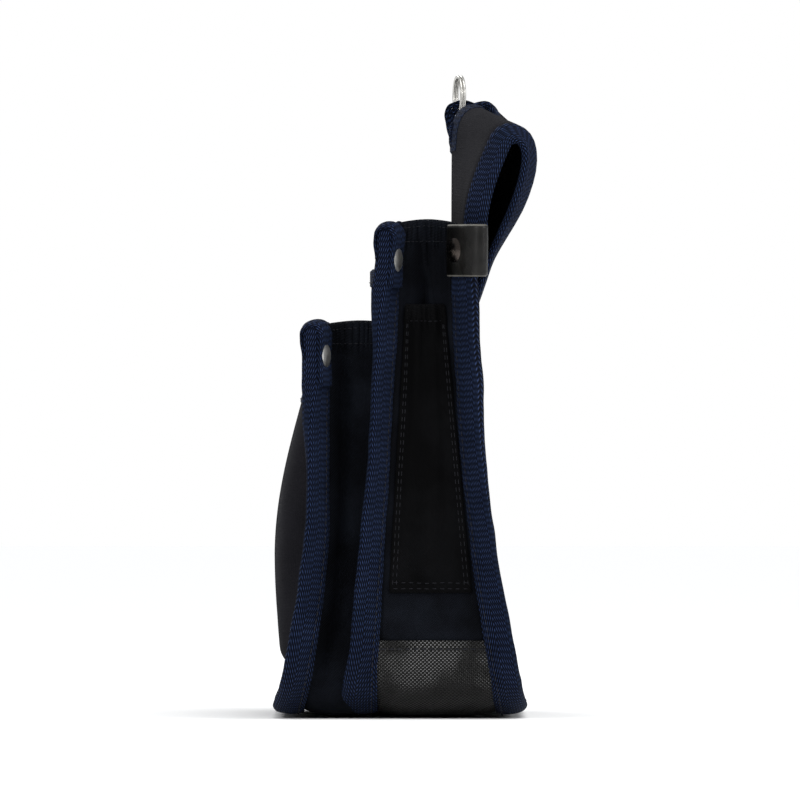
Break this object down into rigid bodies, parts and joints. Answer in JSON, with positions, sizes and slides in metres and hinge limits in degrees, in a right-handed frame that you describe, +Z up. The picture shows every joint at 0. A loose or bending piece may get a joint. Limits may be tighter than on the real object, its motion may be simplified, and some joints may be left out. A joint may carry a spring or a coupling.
{
  "type": "electrician tool pouch",
  "caption": "Two-tier canvas electrician's pouch with taped seams, leather boot, belt loops folded to the back, riveted corners and a hanging ring.",
  "frame": {"origin": "middle of the bounding box's footprint, on the surface the pouch stands on", "axes": "+X to the pouch's left-hand side as the wearer's belt runs, +Y towards the belt side, -Y towards the front, +Z up"},
  "size_m": [0.246, 0.133, 0.3237],
  "materials": {
    "canvas": "black twill canvas with a blue cast",
    "charcoal": "heather charcoal plain weave",
    "tape": "navy herringbone binding tape",
    "boot_leather": "black leather with a diagonal cross-hatch emboss",
    "tab_leather": "smooth black leather with pale cut edges",
    "nickel": "bright nickel plate",
    "dark_nickel": "smoked nickel plate"
  },
  "bodies": {
    "pouch": {"rear_panel": "canvas", "middle_panel": "canvas", "front_panel": "canvas", "main_gusset": "canvas", "front_gusset": "canvas", "leather_boot": "boot_leather", "side_pocket_right": "canvas", "side_pocket_left": "canvas", "front_pocket": "charcoal", "front_pocket_binding": "tape", "inner_pocket": "canvas", "inner_pocket_binding": "tape", "rear_binding": "tape", "middle_binding": "tape", "front_binding": "tape", "middle_mouth_binding": "tape", "front_mouth_binding": "tape", "belt_flap": "charcoal", "belt_loop_right": "charcoal", "belt_loop_left": "charcoal", "loop_binding_right": "tape", "loop_binding_left": "tape", "notch_binding": "tape", "hanger_tape": "tape", "corner_tab_right": "tab_leather", "corner_tab_left": "tab_leather", "tab_rivets": "dark_nickel", "middle_rivets": "nickel", "front_rivets": "nickel", "rivet_back_caps": "nickel"},
    "ring": {"hanging_ring": "nickel"}
  },
  "joints": [
    {"name": "ring_swing", "type": "hinge", "parent": "pouch", "child": "ring", "pos_m": [0, 0.0275, 0.3035], "axis": [1, 0, 0], "range_deg": [-90, 90]}
  ]
}
